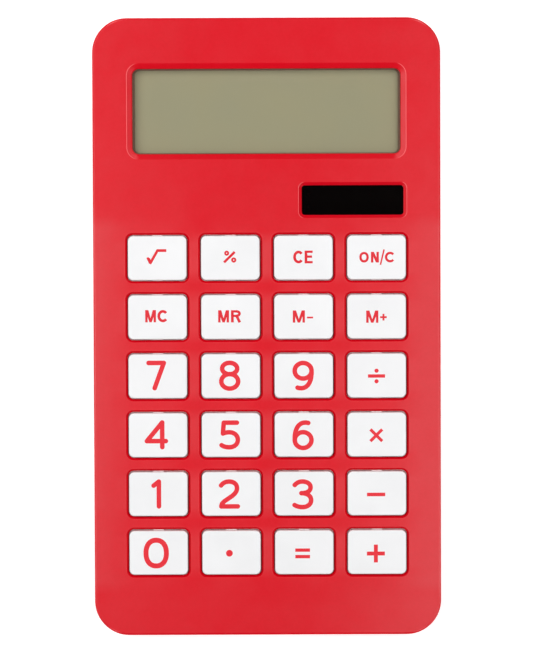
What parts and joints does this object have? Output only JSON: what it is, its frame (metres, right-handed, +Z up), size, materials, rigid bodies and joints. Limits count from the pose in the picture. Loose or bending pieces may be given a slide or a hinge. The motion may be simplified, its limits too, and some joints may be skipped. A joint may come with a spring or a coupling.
{
  "type": "desk calculator",
  "caption": "Slim red desk calculator with a sloping face, grey-green display, solar cell and rows of white push keys on rubber domes, with a button cell under a sliding door.",
  "frame": {"origin": "on the desk under the middle of the housing, level with the bottom of the feet", "axes": "+X to the right of the user, +Y away from the user towards the display, +Z up"},
  "size_m": [0.1, 0.1774, 0.0157],
  "materials": {
    "red_case": "satin moulded ABS with a very fine texture",
    "key_white": "smooth satin moulded plastic",
    "clear_lens": "clear acrylic sheet",
    "lcd_film": "greenish grey polarising film",
    "lcd_glass": "thin float glass",
    "lcd_backing": "satin reflector film",
    "inner_plastic": "plain moulded",
    "screw_steel": "zinc plated",
    "ribbon_film": "polyester film",
    "solar_black": "amorphous silicon on glass",
    "wire_red": "insulation",
    "wire_black": "insulation",
    "silicone": "soft satin",
    "carbon_rubber": "matt",
    "board_green": "solder mask over glass fibre",
    "carbon_ink": "printed carbon",
    "epoxy_black": "cast epoxy",
    "capacitor_sleeve": "shrunk sleeve",
    "resistor_body": "lacquered",
    "led_red": "tinted epoxy",
    "cell_steel": "nickel plated",
    "contact_nickel": "nickel plated spring",
    "foot_rubber": "matt",
    "label_film": "blank silver film"
  },
  "bodies": {
    "housing": {"top_case": "red_case", "bottom_case": "red_case", "display_lens": "clear_lens", "solar_lens": "clear_lens", "lcd_front_polariser": "lcd_film", "lcd_front_glass": "lcd_glass", "lcd_rear_glass": "lcd_glass", "lcd_reflector": "lcd_backing", "display_retainer": "inner_plastic", "retainer_screws": "screw_steel", "board_screws": "screw_steel", "case_screws": "screw_steel", "display_ribbon": "ribbon_film", "solar_cell": "solar_black", "solar_wire_red": "wire_red", "solar_wire_black": "wire_black", "battery_wire_red": "wire_red", "battery_wire_black": "wire_black", "rubber_keypad": "silicone", "contact_pills": "carbon_rubber", "circuit_board": "board_green", "board_contacts": "carbon_ink", "chip_cover": "epoxy_black", "board_capacitors": "capacitor_sleeve", "board_resistors": "resistor_body", "limiter_led": "led_red", "button_cell": "cell_steel", "battery_contact_positive": "contact_nickel", "battery_contact_negative": "contact_nickel", "rating_label": "label_film", "foot_front_left": "foot_rubber", "foot_front_right": "foot_rubber", "foot_rear_left": "foot_rubber", "foot_rear_right": "foot_rubber"},
    "battery_door": {"battery_door": "red_case"},
    "key_0": {"key_0": "key_white"},
    "key_point": {"key_point": "key_white"},
    "key_equals": {"key_equals": "key_white"},
    "key_plus": {"key_plus": "key_white"},
    "key_1": {"key_1": "key_white"},
    "key_2": {"key_2": "key_white"},
    "key_3": {"key_3": "key_white"},
    "key_minus": {"key_minus": "key_white"},
    "key_4": {"key_4": "key_white"},
    "key_5": {"key_5": "key_white"},
    "key_6": {"key_6": "key_white"},
    "key_multiply": {"key_multiply": "key_white"},
    "key_7": {"key_7": "key_white"},
    "key_8": {"key_8": "key_white"},
    "key_9": {"key_9": "key_white"},
    "key_divide": {"key_divide": "key_white"},
    "key_memory_clear": {"key_memory_clear": "key_white"},
    "key_memory_recall": {"key_memory_recall": "key_white"},
    "key_memory_minus": {"key_memory_minus": "key_white"},
    "key_memory_plus": {"key_memory_plus": "key_white"},
    "key_square_root": {"key_square_root": "key_white"},
    "key_percent": {"key_percent": "key_white"},
    "key_clear_entry": {"key_clear_entry": "key_white"},
    "key_on_clear": {"key_on_clear": "key_white"}
  },
  "joints": [
    {"name": "battery_door_slide", "type": "slide", "parent": "housing", "child": "battery_door", "axis": [0, 1, 0], "range_m": [0, 0.027]},
    {"name": "key_0_press", "type": "slide", "parent": "housing", "child": "key_0", "axis": [0, 0.0349, -0.9994], "range_m": [0, 0.001], "stiffness_N_per_m": 800, "springref_m": -0.0003, "deforming": ["rubber_keypad", "contact_pills"]},
    {"name": "key_point_press", "type": "slide", "parent": "housing", "child": "key_point", "axis": [0, 0.0349, -0.9994], "range_m": [0, 0.001], "stiffness_N_per_m": 800, "springref_m": -0.0003, "deforming": ["rubber_keypad", "contact_pills"]},
    {"name": "key_equals_press", "type": "slide", "parent": "housing", "child": "key_equals", "axis": [0, 0.0349, -0.9994], "range_m": [0, 0.001], "stiffness_N_per_m": 800, "springref_m": -0.0003, "deforming": ["rubber_keypad", "contact_pills"]},
    {"name": "key_plus_press", "type": "slide", "parent": "housing", "child": "key_plus", "axis": [0, 0.0349, -0.9994], "range_m": [0, 0.001], "stiffness_N_per_m": 800, "springref_m": -0.0003, "deforming": ["rubber_keypad", "contact_pills"]},
    {"name": "key_1_press", "type": "slide", "parent": "housing", "child": "key_1", "axis": [0, 0.0349, -0.9994], "range_m": [0, 0.001], "stiffness_N_per_m": 800, "springref_m": -0.0003, "deforming": ["rubber_keypad", "contact_pills"]},
    {"name": "key_2_press", "type": "slide", "parent": "housing", "child": "key_2", "axis": [0, 0.0349, -0.9994], "range_m": [0, 0.001], "stiffness_N_per_m": 800, "springref_m": -0.0003, "deforming": ["rubber_keypad", "contact_pills"]},
    {"name": "key_3_press", "type": "slide", "parent": "housing", "child": "key_3", "axis": [0, 0.0349, -0.9994], "range_m": [0, 0.001], "stiffness_N_per_m": 800, "springref_m": -0.0003, "deforming": ["rubber_keypad", "contact_pills"]},
    {"name": "key_minus_press", "type": "slide", "parent": "housing", "child": "key_minus", "axis": [0, 0.0349, -0.9994], "range_m": [0, 0.001], "stiffness_N_per_m": 800, "springref_m": -0.0003, "deforming": ["rubber_keypad", "contact_pills"]},
    {"name": "key_4_press", "type": "slide", "parent": "housing", "child": "key_4", "axis": [0, 0.0349, -0.9994], "range_m": [0, 0.001], "stiffness_N_per_m": 800, "springref_m": -0.0003, "deforming": ["rubber_keypad", "contact_pills"]},
    {"name": "key_5_press", "type": "slide", "parent": "housing", "child": "key_5", "axis": [0, 0.0349, -0.9994], "range_m": [0, 0.001], "stiffness_N_per_m": 800, "springref_m": -0.0003, "deforming": ["rubber_keypad", "contact_pills"]},
    {"name": "key_6_press", "type": "slide", "parent": "housing", "child": "key_6", "axis": [0, 0.0349, -0.9994], "range_m": [0, 0.001], "stiffness_N_per_m": 800, "springref_m": -0.0003, "deforming": ["rubber_keypad", "contact_pills"]},
    {"name": "key_multiply_press", "type": "slide", "parent": "housing", "child": "key_multiply", "axis": [0, 0.0349, -0.9994], "range_m": [0, 0.001], "stiffness_N_per_m": 800, "springref_m": -0.0003, "deforming": ["rubber_keypad", "contact_pills"]},
    {"name": "key_7_press", "type": "slide", "parent": "housing", "child": "key_7", "axis": [0, 0.0349, -0.9994], "range_m": [0, 0.001], "stiffness_N_per_m": 800, "springref_m": -0.0003, "deforming": ["rubber_keypad", "contact_pills"]},
    {"name": "key_8_press", "type": "slide", "parent": "housing", "child": "key_8", "axis": [0, 0.0349, -0.9994], "range_m": [0, 0.001], "stiffness_N_per_m": 800, "springref_m": -0.0003, "deforming": ["rubber_keypad", "contact_pills"]},
    {"name": "key_9_press", "type": "slide", "parent": "housing", "child": "key_9", "axis": [0, 0.0349, -0.9994], "range_m": [0, 0.001], "stiffness_N_per_m": 800, "springref_m": -0.0003, "deforming": ["rubber_keypad", "contact_pills"]},
    {"name": "key_divide_press", "type": "slide", "parent": "housing", "child": "key_divide", "axis": [0, 0.0349, -0.9994], "range_m": [0, 0.001], "stiffness_N_per_m": 800, "springref_m": -0.0003, "deforming": ["rubber_keypad", "contact_pills"]},
    {"name": "key_memory_clear_press", "type": "slide", "parent": "housing", "child": "key_memory_clear", "axis": [0, 0.0349, -0.9994], "range_m": [0, 0.001], "stiffness_N_per_m": 800, "springref_m": -0.0003, "deforming": ["rubber_keypad", "contact_pills"]},
    {"name": "key_memory_recall_press", "type": "slide", "parent": "housing", "child": "key_memory_recall", "axis": [0, 0.0349, -0.9994], "range_m": [0, 0.001], "stiffness_N_per_m": 800, "springref_m": -0.0003, "deforming": ["rubber_keypad", "contact_pills"]},
    {"name": "key_memory_minus_press", "type": "slide", "parent": "housing", "child": "key_memory_minus", "axis": [0, 0.0349, -0.9994], "range_m": [0, 0.001], "stiffness_N_per_m": 800, "springref_m": -0.0003, "deforming": ["rubber_keypad", "contact_pills"]},
    {"name": "key_memory_plus_press", "type": "slide", "parent": "housing", "child": "key_memory_plus", "axis": [0, 0.0349, -0.9994], "range_m": [0, 0.001], "stiffness_N_per_m": 800, "springref_m": -0.0003, "deforming": ["rubber_keypad", "contact_pills"]},
    {"name": "key_square_root_press", "type": "slide", "parent": "housing", "child": "key_square_root", "axis": [0, 0.0349, -0.9994], "range_m": [0, 0.001], "stiffness_N_per_m": 800, "springref_m": -0.0003, "deforming": ["rubber_keypad", "contact_pills"]},
    {"name": "key_percent_press", "type": "slide", "parent": "housing", "child": "key_percent", "axis": [0, 0.0349, -0.9994], "range_m": [0, 0.001], "stiffness_N_per_m": 800, "springref_m": -0.0003, "deforming": ["rubber_keypad", "contact_pills"]},
    {"name": "key_clear_entry_press", "type": "slide", "parent": "housing", "child": "key_clear_entry", "axis": [0, 0.0349, -0.9994], "range_m": [0, 0.001], "stiffness_N_per_m": 800, "springref_m": -0.0003, "deforming": ["rubber_keypad", "contact_pills"]},
    {"name": "key_on_clear_press", "type": "slide", "parent": "housing", "child": "key_on_clear", "axis": [0, 0.0349, -0.9994], "range_m": [0, 0.001], "stiffness_N_per_m": 800, "springref_m": -0.0003, "deforming": ["rubber_keypad", "contact_pills"]}
  ]
}
